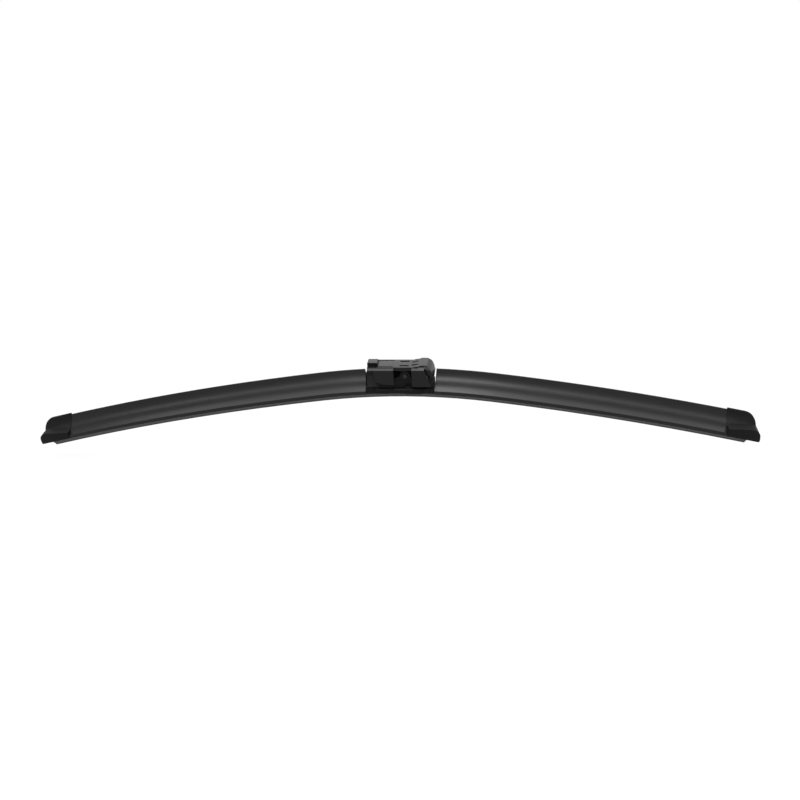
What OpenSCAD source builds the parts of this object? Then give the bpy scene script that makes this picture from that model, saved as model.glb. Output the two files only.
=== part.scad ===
// Flat wiper blade with a push-button arm adapter.
// Millimetres. X runs along the blade, the concave flank of the spoiler faces -Y, +Z is up.
// The origin is on the adapter's top seat, straight above the pivot pin.

/* [Blade length and curve] */
// Wiping rubber, from the pin to its left end
rubber_left = 314.5; // [270:0.5:325]
// Wiping rubber, from the pin to its right end
rubber_right = 259; // [225:0.5:300]
// Reach of the tighter middle arc to each side of the pin
middle_reach = 66.4; // [55:0.2:75]
// Radius of the middle arc, at the strips
middle_radius = 522; // [460:2:580]
// Radius of the long outer arcs, at the strips
outer_radius = 2070; // [1800:10:2400]

/* [Spring strips] */
// Width of one strip
strip_w = 4.5; // [4:0.1:4.6]
// Thickness of a strip
strip_t = 0.9; // [0.8:0.05:1]
// Distance of a strip's inner edge from the blade's middle plane
strip_inner = 1.1; // [1:0.05:1.2]
// How far the strips stop short of the rubber's ends
strip_short = 2; // [1.5:0.25:3]

/* [Wiping rubber] */
// Half width of the rubber's upper wings
wing_half = 3; // [2.6:0.1:3.1]
// Height of each wing above and below the strips
wing_h = 0.95; // [0.8:0.05:1]
// Half thickness of the neck that lets the lip tip over
neck_half = 0.55; // [0.45:0.05:0.8]
// Depth of the neck below the strips' middle
neck_low = 2.5; // [2.4:0.05:2.7]
// Half width of the wedge body
wedge_half = 2.5; // [2.2:0.1:2.7]
// Depth of the lip's edge below the strips' middle
lip_low = 7.7; // [7:0.1:9]
// Half thickness of the lip's edge
lip_half = 0.35; // [0.25:0.05:0.5]

/* [Spoiler] */
// Half width over the claws
claw_half = 7; // [6.8:0.1:7.1]
// Height of the spoiler's top edge above the strips
spoiler_h = 15.3; // [14:0.1:16.5]
// Where the concave flank starts, above the strips
flank_low = 1; // [0.8:0.1:1.3]
// How far the flank's top edge lies behind the middle plane
flank_top_y = 2.9; // [2:0.1:3.5]
// Radius of the concave flank
flank_r = 20.6; // [18:0.2:26]
// Wall of the hollow spoiler
spoiler_wall = 1.3; // [1:0.1:1.5]
// Depth of the claws below the strips' middle
claw_low = 2.3; // [2.1:0.1:2.4]
// Half width of the open slot between the claws' hooks
hook_half = 4; // [3.6:0.1:4.4]
// Start of the left spoiler, from the pin
left_start = 31; // [30.5:0.25:34]
// Start of the right spoiler, from the pin
right_start = 22.1; // [22:0.1:26]
// How far the left spoiler's start leans outward, for each millimetre of height
left_lean = 0.06; // [0:0.01:0.25]
// How far the right spoiler's start leans outward, for each millimetre of height
right_lean = 0.1; // [0.05:0.01:0.2]

/* [End caps] */
// How far the rubber reaches past the spoiler's end, inside the cap
cap_cover = 17.2; // [15.5:0.1:18]
// Reach of the dome from the spoiler's end
dome_len = 18.2; // [17.5:0.1:19.5]
// Reach of the skirt from the spoiler's end
skirt_len = 24; // [23:0.1:26]
// Half width of the skirt
skirt_half = 7.9; // [7.7:0.1:8.3]
// Height of the dome above the strips
dome_h = 16.3; // [16:0.1:17]
// Height of the waist between dome and skirt, above the strips
waist_h = 6.8; // [6:0.1:7.5]
// How far the left cap's mouth covers its spoiler, at the strips
mouth_left = 3.7; // [2:0.1:4.5]
// How far the right cap's mouth covers its spoiler, at the strips
mouth_right = 0.6; // [0.4:0.1:3]
// How far the mouth leans back over the spoiler, for each millimetre of height
mouth_lean = 0.31; // [0.2:0.01:0.4]
// Wall of a cap
cap_wall = 1.4; // [1.1:0.1:1.6]
// Wall of the sleeve at the cap's mouth, mm
sleeve_t = 0.8; // [0.6:0.05:0.9]
// Length over which the dome swells out of the sleeve, mm
swell_len = 6.5; // [4:0.5:8]

/* [Connector base] */
// Left end of the base rails, from the pin
base_left = 22; // [18:0.5:23]
// Right end of the base rails, from the pin
base_right = 13; // [12:0.5:16]
// Left end of the right-hand clamp, left of the pin
clamp_left = 1; // [0.5:0.25:2]
// Right end of the right-hand clamp, right of the pin
clamp_right = 11.5; // [10.5:0.25:12]
// Height of the rails above the strips' middle
rail_top = 2.1; // [1.9:0.1:2.3]
// Depth of the rails below the strips' middle
rail_low = 1.9; // [1.7:0.1:2.2]
// How far the right-hand clamp stands proud of the rails
clamp_proud = 0.35; // [0.2:0.05:0.5]
// Height of the left saddle above the strips' middle
saddle_left_h = 12; // [8:0.2:12]
// Height of the right saddle above the strips' middle
saddle_right_h = 7.6; // [6:0.2:8]
// Height of the pin above the strips' middle
pin_above = 12.1; // [10.5:0.1:12.5]
// Radius of the rounded cheek round the pin
cheek_r = 4; // [3.6:0.1:4.3]
// Thickness of one cheek
cheek_t = 1.9; // [1.5:0.1:2.1]

/* [Pivot pin] */
// Radius of the pin
pin_r = 1.75; // [1.5:0.05:2]
// How far the pin stands out of each cheek
pin_out = 0.7; // [0.3:0.1:1.2]

/* [Arm adapter] */
// Depth of the pin below the adapter's seat
pin_deep = 8.55; // [8.3:0.05:9]
// Distance of a side wall's inner face from the middle plane
wall_inner = 7.6; // [7.5:0.05:7.7]
// Thickness of the top plate
plate_t = 1.8; // [1.5:0.1:2]
// Half width over the side walls
wall_half = 9.2; // [8.9:0.1:9.6]
// Left end of the plate, from the pin
plate_left = 28.5; // [27.5:0.25:29]
// Half width over the seat
seat_half = 7; // [6.6:0.1:7.2]
// Step from the seat down to the ledges left of the windows
ledge_step = 0.7; // [0.5:0.1:0.9]
// Fall of the ledges to the outside
ledge_fall = 1; // [0.8:0.1:1.2]
// Half width of the flexible tongue
tongue_half = 4.9; // [4.6:0.1:5]
// Width of the slit beside the tongue
slit_w = 1; // [0.7:0.05:1.1]
// Where the tongue joins the plate, left of the pin
tongue_root = 8.8; // [8:0.2:10]
// Length of the release button
button_len = 7.6; // [7:0.1:8.5]
// Half width of the release button
button_half = 3.5; // [3.2:0.1:3.8]
// Depth of the release button below the seat
button_low = 2.9; // [2.4:0.1:3.2]
// Height of the release button above the seat
button_h = 2.2; // [1.6:0.1:2.6]
// Left side of the window in the front wall, from the pin
window_left = 8.3; // [7.8:0.1:8.6]
// Right side of the window, from the pin
window_right = 5.5; // [5.2:0.1:6]
// Depth of the side walls' feet below the seat
wall_deep = 15.4; // [15:0.1:15.8]
// Right edge of the side walls under the ledge, from the pin
wall_right_top = 15; // [14.5:0.1:15.5]
// Right edge of the side walls at their feet, from the pin
wall_right_low = 20.4; // [19.8:0.1:20.8]
// Left edge of the side walls under the ledge, from the pin
wall_left_top = 24.6; // [24:0.1:25]
// Left edge of the side walls at their feet, from the pin
wall_left_low = 23.1; // [22.6:0.1:23.6]
// Bevel on the slanted edges of the side walls
edge_size = 0.7; // [0.4:0.1:0.9]
// Height of the stop hump above the seat
hump_h = 1.6; // [1.3:0.1:1.9]
// Reach of the nose's lower edge, from the pin
nose_reach = 22.5; // [21.8:0.1:22.5]
// Half width of the nose, mm
nose_half = 9; // [8.4:0.1:9.2]

/* [Fits] */
// Running clearance of the snap bearing round the pin
bearing_gap = 0.06; // [0.02:0.01:0.1]
// Clearance of the pin in the cheeks
pin_fit = 0.02; // [0.01:0.01:0.03]
// Gap between the rubber's end and the cap's end wall
end_gap = 0.2; // [0.1:0.05:0.5]
// Sliding clearance round the strips
strip_gap = 0.1; // [0.05:0.05:0.15]
// Side clearance between the snap bearing and the cheeks
side_gap = 0.3; // [0.25:0.05:0.4]
// Clearance of the cap's mouth round the spoiler
mouth_gap = 0.15; // [0.1:0.05:0.2]

/* [Hidden] */

eps = 0.01;
far = 60;
round_fn = 96;
sweep_fn = 1440;

half_t = strip_t / 2;
strip_outer = strip_inner + strip_w;
strip_z = -pin_deep - pin_above;
hub_half = 2.6;
cheek_in = hub_half + side_gap;
cheek_out = cheek_in + cheek_t;

middle_turn = middle_reach / middle_radius * 180 / PI;
junction_x = middle_radius * sin(middle_turn);
junction_z = strip_z - middle_radius * (1 - cos(middle_turn));
core_gap = 0.2;
core_inset = 0.05;
roof = half_t + 1.8;

flank_dy = flank_top_y + claw_half;
flank_dh = spoiler_h - flank_low;
flank_chord = sqrt(flank_dy * flank_dy + flank_dh * flank_dh);
flank_back = sqrt(flank_r * flank_r - flank_chord * flank_chord / 4);
flank_cy = (flank_top_y - claw_half) / 2 - flank_back * flank_dh / flank_chord;
flank_ch = (spoiler_h + flank_low) / 2 + flank_back * flank_dy / flank_chord;

black = [0.10, 0.10, 0.11];
black_soft = [0.16, 0.16, 0.17];
black_gloss = [0.13, 0.13, 0.14];
steel = [0.62, 0.63, 0.65];

// Curve of the blade

// A section (y across, h up from the strips) swept outward along an arc that bends down.
module arc_out(radius, length) {
    translate([0, 0, -radius])
        rotate([0, -90, -90])
        rotate_extrude(angle = length / radius * 180 / PI, $fn = sweep_fn)
        translate([radius, 0])
        mirror([1, -1, 0])
        children();
}

// Turns work for the right-hand side into work for either side.
module on_side(side) {
    if (side < 0)
        mirror([1, 0, 0]) children();
    else
        children();
}

// Adds the same piece mirrored to the other side of the middle plane.
module both_flanks() {
    children();
    mirror([0, 1, 0]) children();
}

// The place where the middle arc meets the outer one, with x outward along the strips.
module at_junction() {
    translate([junction_x, 0, junction_z])
        rotate([0, middle_turn, 0])
        children();
}

// A section swept from near the pin out to one end of the blade.
module side_sweep(side, from, to) {
    on_side(side)
        at_junction() {
            mirror([1, 0, 0]) arc_out(middle_radius, middle_reach - from) children();
            arc_out(outer_radius, to - middle_reach) children();
        }
}

// A section swept along the middle arc, to either side of the pin.
module middle_sweep(left, right) {
    translate([0, 0, strip_z]) {
        arc_out(middle_radius, right) children();
        mirror([1, 0, 0]) arc_out(middle_radius, left) children();
    }
}

// A section swept over the whole blade. The halves join in a slightly slimmer core.
module whole_sweep(left, right) {
    side_sweep(-1, core_gap, left) children();
    side_sweep(1, core_gap, right) children();
    middle_sweep(core_gap + 1, core_gap + 1) offset(delta = -core_inset) children();
}

// The place on the blade at a distance from the pin, with x outward along the strips.
module at_end(side, s) {
    turn = (s - middle_reach) / outer_radius * 180 / PI;
    on_side(side)
        at_junction()
        translate([outer_radius * sin(turn), 0, outer_radius * (cos(turn) - 1)])
        rotate([0, turn, 0])
        children();
}

// Lays a side view (x along, z up) across the part, from one y to another.
module side_view(y_a, y_b) {
    translate([0, y_b, 0])
        rotate([90, 0, 0])
        linear_extrude(height = y_b - y_a)
        children();
}

// Lays a section (y across, h up) along x, from one x to another.
module section_view(x_a, x_b) {
    translate([x_a, 0, 0])
        rotate([90, 0, 90])
        linear_extrude(height = x_b - x_a)
        children();
}

// Sections

module rubber_section() {
    wing_up = half_t + wing_h;
    wing_down = half_t + wing_h;
    polygon([
        [-lip_half, -lip_low],
        [lip_half, -lip_low],
        [lip_half + 0.15, -lip_low + 0.9],
        [wedge_half - 0.2, -neck_low - 1.5],
        [wedge_half, -neck_low - 0.7],
        [wedge_half, -neck_low],
        [neck_half, -neck_low],
        [neck_half, -wing_down],
        [wing_half, -wing_down],
        [wing_half, -half_t],
        [strip_inner, -half_t],
        [strip_inner, half_t],
        [wing_half, half_t],
        [wing_half - 0.4, wing_up],
        [-wing_half + 0.4, wing_up],
        [-wing_half, half_t],
        [-strip_inner, half_t],
        [-strip_inner, -half_t],
        [-wing_half, -half_t],
        [-wing_half, -wing_down],
        [-neck_half, -wing_down],
        [-neck_half, -neck_low],
        [-wedge_half, -neck_low],
        [-wedge_half, -neck_low - 0.7],
        [-wedge_half + 0.2, -neck_low - 1.5],
        [-lip_half - 0.15, -lip_low + 0.9],
    ]);
}

module strip_section() {
    translate([strip_inner, -half_t]) square([strip_w, strip_t]);
}

// The slot that grips both strips and leaves room for the rubber's wings.
module grip_section() {
    slot = strip_outer + strip_gap;
    wings = wing_half + 0.15;
    translate([-slot, -half_t - strip_gap]) square([2 * slot, strip_t + strip_gap]);
    translate([-wings, 0]) square([2 * wings, half_t + wing_h + 0.1]);
    translate([-hook_half, -claw_low - 1]) square([2 * hook_half, claw_low + 1]);
}

module spoiler_outline() {
    difference() {
        polygon([
            [-claw_half + 0.3, -claw_low],
            [claw_half - 0.3, -claw_low],
            [claw_half, -claw_low + 0.3],
            [claw_half, 2.5],
            [claw_half - 0.8, 7.5],
            [claw_half - 2, 12],
            [flank_top_y + 1.2, spoiler_h - 0.4],
            [flank_top_y + 0.8, spoiler_h],
            [flank_top_y, spoiler_h],
            [-claw_half, flank_low + 8],
            [-claw_half, flank_low],
            [-claw_half, -claw_low + 0.3],
        ]);
        translate([flank_cy, flank_ch]) circle(r = flank_r, $fn = 360);
    }
}

module spoiler_hollow() {
    difference() {
        polygon([
            [-claw_half, roof],
            [claw_half - spoiler_wall, roof],
            [claw_half - spoiler_wall - 0.05, 3],
            [claw_half - spoiler_wall - 0.8, 7.5],
            [claw_half - spoiler_wall - 1.9, 11.6],
            [-claw_half, 11.6],
        ]);
        translate([flank_cy, flank_ch]) circle(r = flank_r + spoiler_wall, $fn = 360);
    }
}

module spoiler_section() {
    difference() {
        spoiler_outline();
        spoiler_hollow();
        grip_section();
        square([2 * wing_half + 0.3, 2 * roof + eps], center = true);
        translate([flank_top_y + 0.75, spoiler_h - 1.8]) circle(r = 0.5, $fn = 48);
    }
}

module rail_section(proud) {
    half = claw_half + proud;
    top = rail_top + proud / 2;
    low = rail_low + proud / 2;
    difference() {
        polygon([
            [-half + 0.3, -low],
            [half - 0.3, -low],
            [half, -low + 0.3],
            [half, top - 0.5],
            [half - 0.6, top],
            [-half + 0.6, top],
            [-half, top - 0.5],
            [-half, -low + 0.3],
        ]);
        grip_section();
    }
}

// Blade pieces

module wiper_rubber() {
    color(black_soft)
        whole_sweep(rubber_left, rubber_right) rubber_section();
}

module spring_strip() {
    whole_sweep(rubber_left - strip_short, rubber_right - strip_short) strip_section();
}

module spring_strip_front() {
    color(steel)
        mirror([0, 1, 0]) spring_strip();
}

module spring_strip_rear() {
    color(steel)
        spring_strip();
}

// A spoiler whose start by the connector leans outward as it rises.
module spoiler(side, from, to, lean) {
    difference() {
        side_sweep(side, from, to) spoiler_section();
        on_side(side)
            translate([from, 0, strip_z])
            rotate([0, atan(lean), 0])
            translate([-far, -far / 2, -far / 2])
            cube(far);
    }
}

module spoiler_left() {
    color(black)
        spoiler(-1, left_start, rubber_left - cap_cover, left_lean);
}

module spoiler_right() {
    color(black)
        spoiler(1, right_start, rubber_right - cap_cover, right_lean);
}

// The outline of a cap in plan, rounded at its outer corners.
module cap_plan(len, half, corner) {
    translate([-far / 2, -half]) square([far / 2 + len - corner, 2 * half]);
    translate([0, -half + corner]) square([len, 2 * (half - corner)]);
    translate([len - corner, half - corner]) circle(r = corner, $fn = round_fn);
    translate([len - corner, -half + corner]) circle(r = corner, $fn = round_fn);
}

// The dome from the side: level over the mouth, then one round down to the waist.
module dome_side(in) {
    bend = 8.8 - in;
    top = dome_h - in;
    end = dome_len - in;
    translate([-far / 2, 0]) square([far / 2 + end - bend, top]);
    translate([-far / 2, 0]) square([far / 2 + end, top - bend]);
    translate([end - bend, top - bend]) circle(r = bend, $fn = 2 * round_fn);
}

// The dome across the blade: a bulging front, and a back that follows the spoiler's.
module dome_section(in) {
    front = -skirt_half + 1.5 + in;
    back = skirt_half - in;
    top = dome_h - in;
    bulge = 9.4 - in;
    foot_in = 0.7;
    intersection() {
        polygon([
            [front + foot_in, -claw_low],
            [back, -claw_low],
            [back, 2.5],
            [back - 0.8, 7.5],
            [back - 2, 12.2],
            [back - 2.7, top],
            [front, top],
            [front, waist_h + 1.2],
            [front + foot_in, waist_h + 0.3],
        ]);
        union() {
            translate([front + bulge, top - bulge]) circle(r = bulge, $fn = 2 * round_fn);
            translate([front, -claw_low]) square([far, claw_low + top - bulge]);
        }
    }
}

module cap_dome(in) {
    middle = 0.75;
    intersection() {
        section_view(-far / 4, dome_len) dome_section(in);
        side_view(-far, far) dome_side(in);
        translate([0, middle])
            linear_extrude(height = far) cap_plan(dome_len - in, skirt_half - middle - in, 6.4 - in);
    }
}

// The flared skirt, with a waist above it and undercut claws below.
module cap_skirt() {
    flare = skirt_len - dome_len;
    ledge_in = 2.1;
    intersection() {
        side_view(-far, far) polygon([
            [-far / 4, -claw_low],
            [skirt_len, -claw_low],
            [skirt_len, 1],
            [skirt_len - 0.22 * flare, 3.6],
            [skirt_len - 0.55 * flare, 5.4],
            [dome_len, waist_h],
            [-far / 4, waist_h],
        ]);
        section_view(-far / 4, far) polygon([
            [-hook_half, -claw_low + 0.3],
            [hook_half, -claw_low + 0.3],
            [skirt_half - 0.8, -1.3],
            [skirt_half, -0.5],
            [skirt_half, waist_h - ledge_in],
            [skirt_half - ledge_in, waist_h],
            [-skirt_half + ledge_in, waist_h],
            [-skirt_half, waist_h - ledge_in],
            [-skirt_half, -0.5],
            [-skirt_half + 0.8, -1.3],
        ]);
        translate([0, 0, -far / 2])
            linear_extrude(height = far) cap_plan(skirt_len, skirt_half, 5);
    }
}

// The mouth's slanted plane, as the origin of what lies beyond it.
module at_mouth(cover) {
    translate([-cover, 0, 0]) rotate([0, -atan(mouth_lean), 0]) children();
}

// The thin sleeve round the spoiler, out of which the dome swells.
module cap_sleeve() {
    intersection() {
        section_view(-far / 4, cap_cover / 2) offset(delta = mouth_gap + sleeve_t) spoiler_outline();
        translate([-far / 2, -far / 2, 1]) cube(far);
    }
}

// A cap, with x outward from the spoiler's end, whose mouth covers so much of the spoiler.
module end_cap(cover) {
    stop = cap_cover + end_gap;
    difference() {
        union() {
            difference() {
                cap_dome(0);
                at_mouth(cover)
                    translate([0, 0, -far / 2])
                    linear_extrude(height = far)
                    polygon([
                        [-far, -flank_top_y],
                        [0, -flank_top_y],
                        [swell_len, -skirt_half],
                        [swell_len, -far],
                        [-far, -far],
                    ]);
            }
            cap_sleeve();
            cap_skirt();
        }
        intersection() {
            cap_dome(cap_wall);
            translate([0, -far, roof]) cube([far, 2 * far, far]);
        }
        section_view(-far / 2, end_gap) offset(delta = mouth_gap) spoiler_outline();
        section_view(0, stop) grip_section();
        translate([stop + cap_wall, -skirt_half + cap_wall + 0.4, -far])
            cube([skirt_len - stop - 2.2 * cap_wall, 2 * (skirt_half - cap_wall - 0.4), far + roof - cap_wall]);
        at_mouth(cover) translate([-far, -far, -far]) cube([far, 2 * far, 2 * far]);
    }
}

module end_cap_left() {
    color(black)
        at_end(-1, rubber_left - cap_cover) end_cap(mouth_left);
}

module end_cap_right() {
    color(black)
        at_end(1, rubber_right - cap_cover) end_cap(mouth_right);
}

// Connector

// One cheek in side view: rounded about the pin, spreading to the rails.
module cheek_side() {
    floor_z = -pin_above + rail_top - 0.6;
    difference() {
        union() {
            circle(r = cheek_r, $fn = round_fn);
            polygon([
                [-cheek_r, 0],
                [cheek_r, 0],
                [cheek_r + 2, -6.2],
                [base_right - 0.5, -6.8],
                [base_right - 0.5, floor_z],
                [-base_left + 0.8, floor_z],
                [-base_left + 0.8, -7.6],
                [-cheek_r - 5, -2],
            ]);
        }
        circle(r = pin_r + pin_fit, $fn = round_fn);
    }
}

// The slimmer part of the base that runs up to the spoilers.
module neck_section() {
    difference() {
        translate([-claw_half + 0.7, -rail_low + 0.2])
            square([2 * (claw_half - 0.7), rail_low + rail_top - 0.4]);
        grip_section();
    }
}

// The saddle that carries on the spoiler's hollow shape under the adapter.
module saddle_section(height) {
    back = claw_half - 1.1;
    low = rail_top - 0.5;
    difference() {
        polygon([
            [-back, low],
            [back, low],
            [back, height - 0.7],
            [back - 0.7, height],
            [-back, height],
        ]);
        translate([flank_cy, flank_ch]) circle(r = flank_r + 2.5, $fn = 360);
    }
}

module saddle(length, from, height) {
    translate([0, 0, strip_z])
        difference() {
            arc_out(middle_radius, length) saddle_section(height);
            translate([-1, -far / 2, -far / 2]) cube([1 + from, far, far]);
        }
}

module connector_base() {
    left = left_start - end_gap;
    right = right_start - end_gap;
    color(black_gloss) {
        middle_sweep(base_left, base_right) rail_section(0);
        middle_sweep(clamp_left, clamp_right) rail_section(clamp_proud);
        middle_sweep(left, right) neck_section();
        on_side(-1) saddle(left, base_left + 0.5, saddle_left_h);
        saddle(right, base_right + 0.5, saddle_right_h);
        both_flanks()
            translate([0, 0, -pin_deep])
            side_view(cheek_in, cheek_out)
            cheek_side();
        for (x = [-base_left + 0.8, -cheek_r - 5, cheek_r + 3])
            translate([x, -cheek_in - 0.5, strip_z + rail_top - 0.7])
            cube([1.4, 2 * cheek_in + 1, 2.2]);
        both_flanks()
            translate([0, claw_half - 1.8, strip_z + rail_top - 0.6])
            cube([4.4, 1.8, 3]);
    }
}

module pivot_pin() {
    length = cheek_out + pin_out;
    color(steel)
        translate([0, 0, -pin_deep])
        rotate([90, 0, 0])
        rotate_extrude($fn = round_fn)
        polygon([
            [0, -length],
            [pin_r - 0.3, -length],
            [pin_r, -length + 0.3],
            [pin_r, length - 0.3],
            [pin_r - 0.3, length],
            [0, length],
        ]);
}

// Arm adapter

// A side wall seen from the front, with its slanted ends and its foot.
module wall_side() {
    ledge_z = -ledge_step - ledge_fall;
    polygon([
        [-plate_left, ledge_z],
        [wall_right_top, ledge_z],
        [wall_right_low, -wall_deep],
        [window_right, -wall_deep],
        [window_right, -wall_deep + 1.4],
        [-window_left, -wall_deep + 1.4],
        [-16.2, -wall_deep + 1.8],
        [-wall_left_low, -wall_deep + 4.3],
        [-wall_left_top, ledge_z - 1.2],
        [-plate_left, ledge_z - 1.2],
    ]);
}

// The plate with its ramp, the stop hump and the sloped nose.
module plate_side() {
    polygon([
        [-plate_left, 0],
        [6.2, 0],
        [8, hump_h - 1],
        [10.4, hump_h - 0.8],
        [12.4, hump_h],
        [16.9, hump_h],
        [17.4, hump_h - 0.2],
        [18.7, 0.1],
        [20.1, -1.8],
        [21.4, -4.6],
        [nose_reach, -7.7],
        [nose_reach - 1.3, -8.2],
        [19.8, -5.2],
        [18.6, -2.6],
        [17.2, -0.9],
        [15.8, -plate_t + 1.2],
        [13.4, -plate_t + 1.2],
        [11, -plate_t],
        [-plate_left, -plate_t],
    ]);
}

// A bevelled ledge between the seat's edge and the side wall, from its top edge down.
module ledge_section(top, fall) {
    polygon([
        [-seat_half - eps, top],
        [-wall_half, top - fall],
        [-wall_half, -ledge_step - ledge_fall - 1.2],
        [-seat_half + 0.6, -ledge_step - ledge_fall - 1.2],
        [-seat_half + 0.6, -ledge_step - 0.1],
        [-seat_half - eps, -ledge_step - 0.1],
    ]);
}

// A cut that bevels the outer edge of a side wall along a line from one point to another.
module edge_bevel(x_a, z_a, x_b, z_b, size) {
    lean = atan2(x_b - x_a, z_a - z_b);
    long = sqrt((x_b - x_a) * (x_b - x_a) + (z_a - z_b) * (z_a - z_b));
    translate([x_a, -wall_half, z_a])
        rotate([0, -lean, 0])
        translate([0, 0, -long - 1])
        linear_extrude(height = long + 1)
        polygon([[-size, -1], [size, -1], [size, size], [0, size], [-size, 0]]);
}

// The nose in plan: nearly square, with a slight swell to its front.
module nose_plan() {
    swell_r = 45;
    intersection() {
        translate([nose_reach - swell_r, 0]) circle(r = swell_r, $fn = 720);
        polygon([
            [0, -nose_half],
            [nose_reach - 1.6, -nose_half],
            [nose_reach - 0.9, -nose_half + 0.5],
            [nose_reach, -nose_half + 3],
            [nose_reach, nose_half - 3],
            [nose_reach - 0.9, nose_half - 0.5],
            [nose_reach - 1.6, nose_half],
            [0, nose_half],
        ]);
    }
}

// A web that closes the nose's side from the plate down to its lower edge.
module nose_web() {
    polygon([
        [13, -1],
        [16.5, -1],
        [18.2, -2.4],
        [19.6, -4.6],
        [nose_reach - 1.2, -7.9],
        [nose_reach - 2.2, -7.9],
        [13, -5.5],
    ]);
}

module adapter_shell() {
    side_view(-seat_half, seat_half) plate_side();
    intersection() {
        side_view(-far, far) plate_side();
        translate([0, 0, -far / 2]) linear_extrude(height = far) nose_plan();
        section_view(wall_right_top, far) polygon([
            [-nose_half, -far],
            [nose_half, -far],
            [nose_half, -1.2],
            [seat_half, 1],
            [seat_half, far],
            [-seat_half, far],
            [-seat_half, 1],
            [-nose_half, -1.2],
        ]);
    }
    both_flanks() {
        side_view(5.2, 6.4) nose_web();
        side_view(-wall_half, -wall_inner) wall_side();
        section_view(-plate_left, -tongue_root + 1) ledge_section(-ledge_step, ledge_fall);
        section_view(-tongue_root, wall_right_top) ledge_section(-ledge_step + 0.1, ledge_fall);
        section_view(10.6, wall_right_top) ledge_section(0, ledge_fall + ledge_step - 0.1);
    }
}

// The release button: a block that stands proud of the tongue and hangs below it.
module release_button() {
    left = -plate_left - 0.3;
    right = -plate_left + button_len;
    side_view(-button_half, button_half) polygon([
        [left, -button_low],
        [left, button_h - 0.5],
        [left + 0.5, button_h],
        [right - 0.5, button_h],
        [right, button_h - 0.5],
        [right, -plate_t],
        [right - 1, -button_low],
    ]);
}

module snap_bearing() {
    reach = pin_r + 1.7;
    difference() {
        union() {
            translate([0, 0, -pin_deep])
                side_view(-hub_half, hub_half) circle(r = reach, $fn = round_fn);
            translate([-reach, -hub_half, -pin_deep])
                cube([2 * reach, 2 * hub_half, pin_deep - plate_t + 0.4]);
        }
        translate([0, 0, -pin_deep])
            side_view(-far, far) circle(r = pin_r + bearing_gap, $fn = round_fn);
        translate([0, 0, -pin_deep])
            side_view(-far, far) polygon([
                [-pin_r * 0.8, 0],
                [pin_r * 0.8, 0],
                [pin_r * 0.8, -pin_r - 0.4],
                [pin_r * 1.3, -far / 6],
                [-pin_r * 1.3, -far / 6],
                [-pin_r * 0.8, -pin_r - 0.4],
            ]);
    }
}

module arm_adapter() {
    slot_half = 0.9;
    long_slot = [-4, 7.1, 3.8];
    short_slot = [5.2, 4.8, 2.65];
    color(black_gloss) {
        difference() {
            adapter_shell();
            both_flanks() {
                translate([-plate_left - 1, tongue_half, -far / 2])
                    cube([plate_left - tongue_root + 1, slit_w, far]);
                translate([-plate_left - 1, button_half, -far / 2])
                    cube([button_len + 1.6, tongue_half + slit_w - button_half, far]);
                for (slot = [long_slot, short_slot])
                    translate([slot[0], slot[2] - slot_half, -plate_t - 1])
                    cube([slot[1], 2 * slot_half, plate_t + 3]);
                edge_bevel(wall_right_top, 0, wall_right_low, -wall_deep, edge_size);
                mirror([1, 0, 0])
                    edge_bevel(wall_left_top, -ledge_step - ledge_fall, wall_left_low, -wall_deep + 4.3, edge_size);
            }
            translate([-window_left, -wall_half - 1, -far])
                cube([window_left + window_right, wall_half - seat_half + 1, far + 1]);
        }
        release_button();
        snap_bearing();
        translate([3, -0.8, -5.5]) cube([13.5, 1.6, 5]);
        translate([-tongue_root + 0.4, -0.8, -5.5]) cube([6, 1.6, 5]);
    }
}

wiper_rubber();
spring_strip_front();
spring_strip_rear();
spoiler_left();
spoiler_right();
end_cap_left();
end_cap_right();
connector_base();
pivot_pin();
arm_adapter();
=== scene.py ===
"""Looks for the flat wiper blade: materials, light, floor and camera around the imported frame."""

import math

import bpy
from mathutils import Matrix, Vector


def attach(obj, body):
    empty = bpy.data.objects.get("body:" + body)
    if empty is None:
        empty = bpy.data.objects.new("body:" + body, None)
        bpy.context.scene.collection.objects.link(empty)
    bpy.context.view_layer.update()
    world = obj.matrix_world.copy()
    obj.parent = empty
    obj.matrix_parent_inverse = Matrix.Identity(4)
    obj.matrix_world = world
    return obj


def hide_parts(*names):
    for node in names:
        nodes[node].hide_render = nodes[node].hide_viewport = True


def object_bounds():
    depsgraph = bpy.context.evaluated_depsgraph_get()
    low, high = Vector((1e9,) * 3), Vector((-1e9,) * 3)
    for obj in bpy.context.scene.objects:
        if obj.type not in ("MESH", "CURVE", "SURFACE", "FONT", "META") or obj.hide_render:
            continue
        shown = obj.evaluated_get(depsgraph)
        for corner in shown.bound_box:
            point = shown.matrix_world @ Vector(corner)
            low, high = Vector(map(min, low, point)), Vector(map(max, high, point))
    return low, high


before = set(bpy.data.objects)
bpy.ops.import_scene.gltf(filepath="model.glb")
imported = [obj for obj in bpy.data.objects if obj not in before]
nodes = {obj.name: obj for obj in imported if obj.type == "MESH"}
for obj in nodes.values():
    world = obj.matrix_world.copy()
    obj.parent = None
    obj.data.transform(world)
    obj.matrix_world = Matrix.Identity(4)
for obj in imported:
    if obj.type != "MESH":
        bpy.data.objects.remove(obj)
cad_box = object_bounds()
bpy.ops.object.select_all(action="DESELECT")

# Camera, at the photograph's viewing angle

AIM = Vector((-0.022, 0.0, -0.028))
AZIMUTH, ELEVATION, ROLL = 9.5, 28.0, 4.053
DISTANCE = 0.6035
FOCAL_PX = 769.9
CENTRE_PX = (378.89, 395.61)
PICTURE_PX = 800
SENSOR_MM = 36
NEAREST, FARTHEST = 0.01, 20


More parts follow.
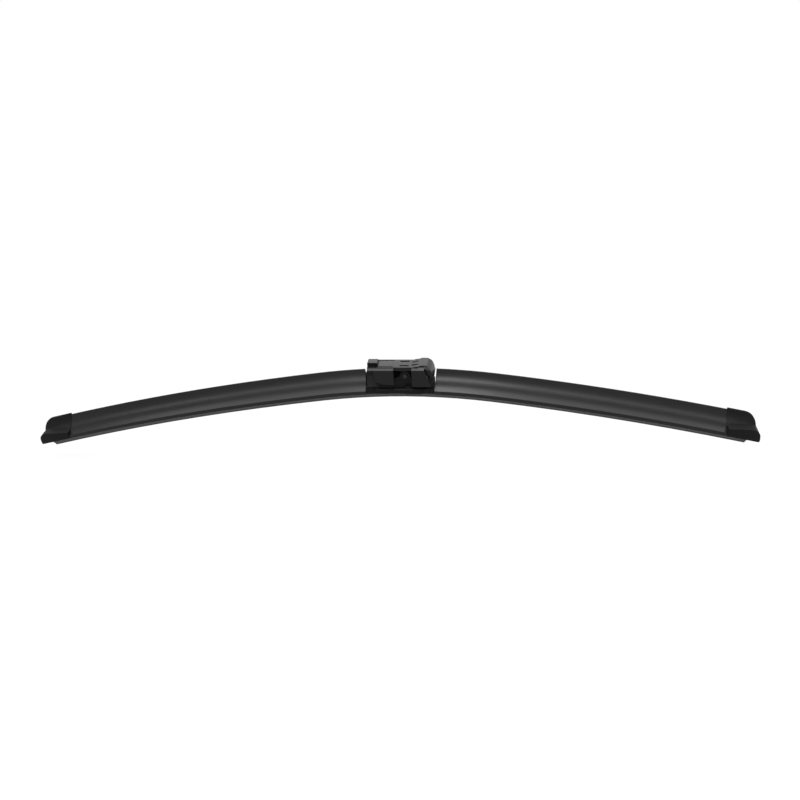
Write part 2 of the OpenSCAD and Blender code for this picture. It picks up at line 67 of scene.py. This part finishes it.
def make_camera():
    """Looks at the blade from in front, above and a little to its right."""
    a, e, r = (math.radians(v) for v in (AZIMUTH, ELEVATION, ROLL))
    back = Vector((math.sin(a) * math.cos(e), -math.cos(a) * math.cos(e), math.sin(e)))
    right = Vector((math.cos(a), math.sin(a), 0))
    up = back.cross(right)
    x_axis = right * math.cos(r) - up * math.sin(r)
    y_axis = right * math.sin(r) + up * math.cos(r)
    data = bpy.data.cameras.new("camera")
    data.sensor_width = SENSOR_MM
    data.lens = FOCAL_PX * SENSOR_MM / PICTURE_PX
    data.shift_x = (PICTURE_PX / 2 - CENTRE_PX[0]) / PICTURE_PX
    data.shift_y = (CENTRE_PX[1] - PICTURE_PX / 2) / PICTURE_PX
    data.clip_start, data.clip_end = NEAREST, FARTHEST
    camera = bpy.data.objects.new("camera", data)
    turn = Matrix((x_axis, y_axis, back)).transposed().to_4x4()
    camera.matrix_world = Matrix.Translation(AIM + back * DISTANCE) @ turn
    bpy.context.scene.collection.objects.link(camera)
    bpy.context.scene.camera = camera


make_camera()

# Shader maths


class Value:
    """A shader socket that can be used in a Python expression."""

    def __init__(self, tree, socket):
        self.tree = tree
        self.socket = socket

    def maths(self, operation, other):
        return self.tree.node("ShaderNodeMath", {"operation": operation}, self, other)

    def __add__(self, other):
        return self.maths("ADD", other)

    __radd__ = __add__

    def __mul__(self, other):
        return self.maths("MULTIPLY", other)

    __rmul__ = __mul__

    def clamped(self):
        return self.tree.node("ShaderNodeClamp", {}, self)


class Tree:
    """A node tree of a material or of the world."""

    def __init__(self, nodes_and_links):
        self.nodes = nodes_and_links.nodes
        self.links = nodes_and_links.links

    def node(self, kind, settings, *inputs, output=0, **named):
        """Adds a node. Inputs come in order, None for one to skip, or by name, _ for a space."""
        made = self.nodes.new(kind)
        for key, value in settings.items():
            setattr(made, key, value)
        pairs = list(enumerate(inputs)) + [(key.replace("_", " "), v) for key, v in named.items()]
        for key, value in pairs:
            self.join(made.inputs[key], value)
        return Value(self, made.outputs[output])

    def join(self, socket, value):
        if isinstance(value, Value):
            self.links.new(value.socket, socket)
        elif value is not None:
            socket.default_value = value

    def place(self):
        return self.node("ShaderNodeTexCoord", {}, output="Object")

    def ramp(self, value, low, high, to_low=0.0, to_high=1.0):
        return self.node("ShaderNodeMapRange", {}, value, low, high, to_low, to_high)


class Finish(Tree):
    """The tree of a surface's material."""

    def __init__(self, name):
        self.material = bpy.data.materials.new(name)
        self.material.use_nodes = True
        super().__init__(self.material.node_tree)
        self.body = self.nodes["Principled BSDF"]

    def stretched(self, scale):
        """Object coordinates stretched per axis."""
        return self.node("ShaderNodeMapping", {}, self.place(), Scale=scale)

    def grain(self, scale, detail, rough, where=None):
        """Noise, with its scale in bumps a metre."""
        return self.node(
            "ShaderNodeTexNoise", {}, Vector=where or self.place(),
            Scale=scale, Detail=detail, Roughness=rough,
        )

    def blend(self, factor, colour_a, colour_b):
        other_types = [None] * 5
        return self.node(
            "ShaderNodeMix", {"data_type": "RGBA"},
            factor, *other_types, colour_a, colour_b, output=2,
        )

    def bump(self, height, strength, distance):
        return self.node("ShaderNodeBump", {}, Strength=strength, Distance=distance, Height=height)

    def set(self, **sockets):
        for key, value in sockets.items():
            self.join(self.body.inputs[key.replace("_", " ")], value)


def grey(level):
    """Linear grey from a level as the screen shows it, out of 255."""
    v = level / 255
    v = v / 12.92 if v <= 0.04045 else ((v + 0.055) / 1.055) ** 2.4
    return (v, v, v * 1.02, 1.0)


PLASTIC_GLOSS = 0.17


def moulded_plastic(name, level, rough, grain_size, grain_depth, gloss=PLASTIC_GLOSS):
    """Black moulded plastic: fine spark-eroded grain, faint flow marks, dull patches."""
    s = Finish(name)
    fine = s.grain(1 / grain_size, 3, 0.6)
    flow = s.grain(40, 2, 0.5, s.stretched((0.25, 1, 1)))
    dust = s.grain(260, 4, 0.7)
    mix = (s.ramp(flow, 0.35, 0.65) * 0.6 + s.ramp(dust, 0.45, 0.75) * 0.4).clamped()
    flow_rough = s.ramp(flow, 0.3, 0.7, rough - 0.03, rough + 0.04)
    s.set(
        Base_Color=s.blend(mix, grey(level * 0.93), grey(level * 1.08)),
        Roughness=flow_rough + s.ramp(dust, 0.4, 0.8, 0, 0.04),
        Normal=s.bump(fine, 0.5, grain_depth),
        Specular_IOR_Level=gloss,
    )
    return s.material


def drawn_plastic(name, level, rough):
    """Black extruded plastic: satin, with faint draw lines along its length."""
    s = Finish(name)
    lines = s.grain(1, 3, 0.6, s.stretched((8, 900, 900)))
    fine = s.grain(2600, 2, 0.5)
    flow = s.grain(18, 3, 0.55, s.stretched((0.5, 1, 1)))
    flow_rough = s.ramp(flow, 0.3, 0.7, rough - 0.03, rough + 0.03)
    s.set(
        Base_Color=s.blend(s.ramp(flow, 0.3, 0.7), grey(level * 0.95), grey(level * 1.06)),
        Roughness=flow_rough + s.ramp(lines, 0.4, 0.7, 0, 0.03),
        Normal=s.bump(lines * 0.6 + fine * 0.4, 0.35, 0.00003),
        Specular_IOR_Level=PLASTIC_GLOSS,
    )
    return s.material


def rubber_black(name, level):
    """Rubber with a graphite coat: matt, slightly lighter, with cut marks along the lip."""
    s = Finish(name)
    dust = s.grain(700, 5, 0.65)
    lines = s.grain(1, 2, 0.5, s.stretched((15, 1500, 1500)))
    s.set(
        Base_Color=s.blend(s.ramp(dust, 0.35, 0.7), grey(level * 0.9), grey(level * 1.12)),
        Roughness=s.ramp(dust, 0.3, 0.7, 0.6, 0.72),
        Normal=s.bump(dust * 0.5 + lines * 0.5, 0.4, 0.00004),
    )
    return s.material


def blackened_steel(name, level, rough):
    """Spring steel under a thin black paint."""
    s = Finish(name)
    lines = s.grain(1, 3, 0.6, s.stretched((12, 1800, 1800)))
    patches = s.grain(120, 4, 0.6)
    s.set(
        Base_Color=s.blend(s.ramp(patches, 0.35, 0.7), grey(level * 0.9), grey(level * 1.15)),
        Roughness=s.ramp(patches, 0.3, 0.7, rough - 0.05, rough + 0.06),
        Normal=s.bump(lines, 0.3, 0.00003),
    )
    return s.material


def bare_steel(name, level, rough):
    """Turned steel pin with fine rings from the lathe."""
    s = Finish(name)
    rings = s.grain(1, 2, 0.5, s.stretched((900, 1500, 900)))
    s.set(
        Base_Color=s.blend(s.ramp(rings, 0.35, 0.7), grey(level * 0.9), grey(level * 1.1)),
        Roughness=s.ramp(rings, 0.3, 0.7, rough - 0.05, rough + 0.06),
        Metallic=1.0,
        Normal=s.bump(rings, 0.3, 0.00002),
    )
    return s.material


CAP_FINISH = moulded_plastic("cap_grained_black", 7, 0.4, 0.0004, 0.00006, gloss=0.11)
FINISHES = (
    (rubber_black("rubber_matt_black", 34), "wiper_rubber"),
    (blackened_steel("strip_black_paint", 14, 0.45), "spring_strip_front", "spring_strip_rear"),
    (drawn_plastic("spoiler_satin_black", 17, 0.28), "spoiler_left", "spoiler_right"),
    (CAP_FINISH, "end_cap_left", "end_cap_right"),
    (moulded_plastic("base_black", 6, 0.5, 0.0003, 0.00003, gloss=0.1), "connector_base"),
    (bare_steel("pin_steel", 50, 0.45), "pivot_pin"),
    (moulded_plastic("adapter_satin_black", 10, 0.34, 0.0003, 0.00004), "arm_adapter"),
)

for finish, *names in FINISHES:
    for name in names:
        nodes[name].data.materials.clear()
        nodes[name].data.materials.append(finish)

# End caps, in millimetres. The part's own caps bulge more at the front than the photograph's, so
# they are modelled here again: a fin that hugs the spoiler's flank, on a wider skirt with a ledge.
# In a cap's own frame, x runs outward from its spoiler's end and z up from the strips.

STRIPS_BELOW_SEAT = 20.65
MIDDLE_REACH, MIDDLE_RADIUS, OUTER_RADIUS = 66.4, 522, 2070
CAP_COVER = 17.2
# Each cap's side, its rubber's length from the pin, and its mouth's cover at the strips and lean
CAPS = {"end_cap_left": (-1, 314.5, 3.7, 0.31), "end_cap_right": (1, 259, 0.1, 0.2)}
# Where the blocks of fin and skirt start, before the mouth is cut
MOUTH_REACH = -12

# The skirt: its block, its corners in plan, its ledge's slope, and the round down to its end
SKIRT_LOW, SKIRT_END, SKIRT_HALF, SKIRT_BLOCK = -1.4, 24.6, 7.9, 12
CORNER_R, CORNER_FACETS = 2.4, 6
LEDGE_Y, LEDGE_Z, LEDGE_DIP = -4.5, 5.3, 0.11
LEDGE_TURN, END_TURN, END_ROUND, END_FACETS = 100, 20, 6.5, 7
SKIRT_SOFT, SKIRT_SOFT_FACETS = 1.1, 4

# The fin, whose crest's round is stretched outward
FIN_HIGH, FIN_END, FIN_FRONT, FIN_BACK = 16.4, 20, -2.8, 7.6
FIN_STRETCH = 1.1
CREST_R, CREST_FACETS = 10, 16
FIN_FRONT_R, FIN_BACK_R, FIN_FACETS = 2.4, 3, 5
# How far the fin's back leans in, and at what height
BACK_LEAN = ((0, 3), (0.8, 7.5), (2.2, 12))

# The spoiler's concave flank, and how thickly the fin covers it
FLANK_Y, FLANK_Z, FLANK_R, FLANK_LONG, FLANK_FACETS = -17.40, 18.78, 20.6, 80, 256
SLEEVE = 0.4

EDGE_SOFT, EDGE_SOFT_FACETS = 0.25, 2
SHARP = math.radians(35)
SAME_PLACE = 0.01
MERGED_M = 0.000001


def cap_place(side, length):
    """Takes a cap from its own frame, in millimetres, to its place on the blade, in metres."""
    reach = length - CAP_COVER
    first = MIDDLE_REACH / MIDDLE_RADIUS
    turn = first + (reach - MIDDLE_REACH) / OUTER_RADIUS
    x = MIDDLE_RADIUS * math.sin(first) + OUTER_RADIUS * (math.sin(turn) - math.sin(first))
    middle_drop = MIDDLE_RADIUS * (1 - math.cos(first))
    drop = middle_drop + OUTER_RADIUS * (math.cos(first) - math.cos(turn))
    place = Matrix.Translation((x, 0, -STRIPS_BELOW_SEAT - drop)) @ Matrix.Rotation(turn, 4, "Y")
    return Matrix.Diagonal((side, 1, 1, 1)) @ Matrix.Scale(0.001, 4) @ place


def block(low, high):
    """A box between two corners, selected alone."""
    bpy.ops.object.select_all(action="DESELECT")
    middle = [(a + b) / 2 for a, b in zip(low, high)]
    size = [b - a for a, b in zip(low, high)]
    bpy.ops.mesh.primitive_cube_add(size=1, location=middle, scale=size)
    bpy.ops.object.transform_apply(location=True, rotation=True, scale=True)
    return bpy.context.object


def round_edges(piece, wanted, radius, facets):
    """Rounds the edges whose two ends both lie where wanted says."""
    bpy.ops.object.mode_set(mode="EDIT")
    bpy.ops.mesh.select_mode(type="EDGE")
    bpy.ops.mesh.select_all(action="DESELECT")
    bpy.ops.object.mode_set(mode="OBJECT")
    points = piece.data.vertices
    for edge in piece.data.edges:
        edge.select = all(wanted(*points[i].co) for i in edge.vertices)
    bpy.ops.object.mode_set(mode="EDIT")
    bpy.ops.mesh.bevel(offset=radius, segments=facets, affect="EDGES")
    bpy.ops.object.mode_set(mode="OBJECT")


def trim(point, away):
    """Cuts the active piece at a plane, closes it, and drops the side that away points to."""
    bpy.ops.object.mode_set(mode="EDIT")
    bpy.ops.mesh.select_all(action="SELECT")
    bpy.ops.mesh.bisect(
        plane_co=point, plane_no=Vector(away).normalized(), use_fill=True, clear_outer=True
    )
    bpy.ops.object.mode_set(mode="OBJECT")


def combine(piece, other, operation):
    """Joins the other solid to the piece, or cuts it out of it."""
    modifier = piece.modifiers.new("combine", "BOOLEAN")
    modifier.operation = operation
    modifier.solver = "EXACT"
    modifier.object = other
    bpy.ops.object.select_all(action="DESELECT")
    piece.select_set(True)
    bpy.context.view_layer.objects.active = piece
    bpy.ops.object.modifier_apply(modifier=modifier.name)
    bpy.data.objects.remove(other)


def soften(piece, width, facets):
    """Rounds every sharp edge of the active piece a little."""
    modifier = piece.modifiers.new("soft_edges", "BEVEL")
    modifier.width, modifier.segments = width, facets
    modifier.limit_method, modifier.angle_limit = "ANGLE", SHARP
    bpy.ops.object.modifier_apply(modifier=modifier.name)


def near(a, b):
    return abs(a - b) < SAME_PLACE


def facing(degrees):
    """The direction that a slope of the skirt faces, in its side view: 0 outward, 90 up."""
    return Vector((math.cos(math.radians(degrees)), 0, math.sin(math.radians(degrees))))


def cap_skirt():
    """The wide lower part: round corners, a leaning end and a long round up to the level ledge."""
    skirt = block((MOUTH_REACH, -SKIRT_HALF, SKIRT_LOW), (SKIRT_END, SKIRT_HALF, SKIRT_BLOCK))
    for side in (-SKIRT_HALF, SKIRT_HALF):
        round_edges(
            skirt, lambda x, y, z: near(x, SKIRT_END) and near(y, side), CORNER_R, CORNER_FACETS
        )
    ledge, end = facing(LEDGE_TURN), facing(END_TURN)
    ledge_reach = ledge.z * LEDGE_Z - END_ROUND
    end_reach = end.x * SKIRT_END + end.z * SKIRT_LOW - END_ROUND
    spread = ledge.z * end.x - ledge.x * end.z
    centre = Vector((
        (end_reach * ledge.z - ledge_reach * end.z) / spread,
        LEDGE_Y,
        (ledge_reach * end.x - end_reach * ledge.x) / spread,
    ))
    for i in range(END_FACETS + 1):
        slope = facing(END_TURN + (LEDGE_TURN - END_TURN) * i / END_FACETS)
        trim(centre + END_ROUND * slope, slope - Vector((0, LEDGE_DIP * slope.z ** 2, 0)))
    soften(skirt, SKIRT_SOFT, SKIRT_SOFT_FACETS)
    return skirt


def cap_fin():
    """The fin over the spoiler's end: a long round from its crest down to the ledge."""
    end = FIN_END / FIN_STRETCH
    fin = block((MOUTH_REACH, FIN_FRONT, 0), (end, FIN_BACK, FIN_HIGH))
    round_edges(fin, lambda x, y, z: near(x, end) and near(z, FIN_HIGH), CREST_R, CREST_FACETS)
    # The edges that start at the mouth's foot stay sharp
    for side, radius in ((FIN_FRONT, FIN_FRONT_R), (FIN_BACK, FIN_BACK_R)):
        round_edges(
            fin, lambda x, y, z: max(x, z) > SAME_PLACE and near(y, side), radius, FIN_FACETS
        )
    bpy.ops.object.select_all(action="DESELECT")
    fin.select_set(True)
    fin.scale = (FIN_STRETCH, 1, 1)
    bpy.ops.object.transform_apply(location=False, rotation=False, scale=True)
    for (inset, height), (next_inset, next_height) in zip(BACK_LEAN, BACK_LEAN[1:]):
        trim((0, FIN_BACK - inset, height), (0, next_height - height, next_inset - inset))
    bpy.ops.mesh.primitive_cylinder_add(
        vertices=FLANK_FACETS, radius=FLANK_R - SLEEVE, depth=FLANK_LONG,
        location=(0, FLANK_Y, FLANK_Z), rotation=(0, math.pi / 2, 0),
    )
    combine(fin, bpy.context.object, "DIFFERENCE")
    return fin


def make_cap(name, side, length, mouth, lean):
    """Models a cap, puts it on the blade and lets it stand in for the part's own."""
    cap = cap_skirt()
    combine(cap, cap_fin(), "UNION")
    trim((-mouth, 0, 0), (-1, 0, -lean))
    soften(cap, EDGE_SOFT, EDGE_SOFT_FACETS)
    cap.data.transform(cap_place(side, length))
    bpy.ops.object.mode_set(mode="EDIT")
    bpy.ops.mesh.select_all(action="SELECT")
    bpy.ops.mesh.remove_doubles(threshold=MERGED_M)
    bpy.ops.mesh.normals_make_consistent(inside=False)
    bpy.ops.object.mode_set(mode="OBJECT")
    bpy.ops.object.shade_smooth_by_angle(angle=SHARP)
    cap.name = name.replace("end_cap", "cap_cover")
    cap.data.materials.clear()
    cap.data.materials.append(CAP_FINISH)
    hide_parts(name)
    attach(cap, "blade")


for name, sizes in CAPS.items():
    make_cap(name, *sizes)

# Floor and light, in metres

FLOOR_SIZE, FLOOR_BELOW = 8, 0.012
FLOOR_COLOUR = (0.8, 0.8, 0.8, 1)
# How white the camera sees the floor round the blade, and where it turns all white
WHITE_SHARE, FADE_FROM, FADE_TO = 0.96, 0.5, 1.4
WORLD_LEVEL = 0.12
WHITE = (1, 1, 1, 1)
# Each lamp's place, size and radiance
LAMPS = {
    "overhead": ((0.0, -0.03, 1.0), (0.45, 0.78), 9.4),
    "overhead_wide": ((0.0, -0.03, 1.01), (2.6, 0.78), 3.7),
    "front_high": ((0.0, -0.92, 0.64), (0.5, 0.22), 13.4),
    "front_high_wide": ((0.0, -0.928, 0.646), (2.6, 0.22), 5),
    "back_low": ((0.0, 1.2, 0.6), (1.6, 0.6), 2.1),
}


def seen_directly(tree, camera_share):
    """1 for glossy and transmission rays, camera_share for the camera's, 0 for diffuse ones."""
    camera, glossy, through = (
        tree.node("ShaderNodeLightPath", {}, output=f"Is {kind} Ray")
        for kind in ("Camera", "Glossy", "Transmission")
    )
    return (camera * camera_share + glossy.maths("MAXIMUM", through)).clamped()


def make_floor():
    """A pale floor under the blade: plain white to the camera, with a faint shadow."""
    below = (0, 0, cad_box[0].z - FLOOR_BELOW)
    bpy.ops.mesh.primitive_plane_add(size=FLOOR_SIZE, location=below)
    floor = bpy.context.object
    floor.name = "floor"
    material = bpy.data.materials.new("floor_white")
    material.use_nodes = True
    tree = Tree(material.node_tree)
    tree.nodes.clear()
    length = {"operation": "LENGTH"}
    reach = tree.node("ShaderNodeVectorMath", length, tree.place(), output="Value")
    share = seen_directly(tree, tree.ramp(reach, FADE_FROM, FADE_TO, WHITE_SHARE, 1))
    plain = tree.node("ShaderNodeBsdfDiffuse", {}, FLOOR_COLOUR)
    white = tree.node("ShaderNodeEmission", {}, WHITE, 1)
    mix = tree.node("ShaderNodeMixShader", {}, share, plain, white)
    tree.join(tree.nodes.new("ShaderNodeOutputMaterial").inputs["Surface"], mix)
    floor.data.materials.append(material)


def make_lamp(name, place, size, radiance):
    data = bpy.data.lights.new(name, "AREA")
    data.shape = "RECTANGLE"
    data.size, data.size_y = size
    data.energy = radiance * math.pi * size[0] * size[1]
    lamp = bpy.data.objects.new(name, data)
    lamp.location = place
    lamp.rotation_euler = (-Vector(place)).to_track_quat("-Z", "Y").to_euler()
    bpy.context.scene.collection.objects.link(lamp)


def make_world():
    """Dim to the blade, and white to the camera and in reflections."""
    world = bpy.data.worlds.new("studio")
    world.use_nodes = True
    tree = Tree(world.node_tree)
    tree.nodes.clear()
    dim = tree.node("ShaderNodeBackground", {}, (WORLD_LEVEL, WORLD_LEVEL, WORLD_LEVEL, 1))
    white = tree.node("ShaderNodeBackground", {}, WHITE)
    mix = tree.node("ShaderNodeMixShader", {}, seen_directly(tree, 1), dim, white)
    tree.join(tree.nodes.new("ShaderNodeOutputWorld").inputs["Surface"], mix)
    bpy.context.scene.world = world


make_floor()
make_world()
for name, sizes in LAMPS.items():
    make_lamp(name, *sizes)

scene = bpy.context.scene
scene.view_settings.view_transform = "Standard"
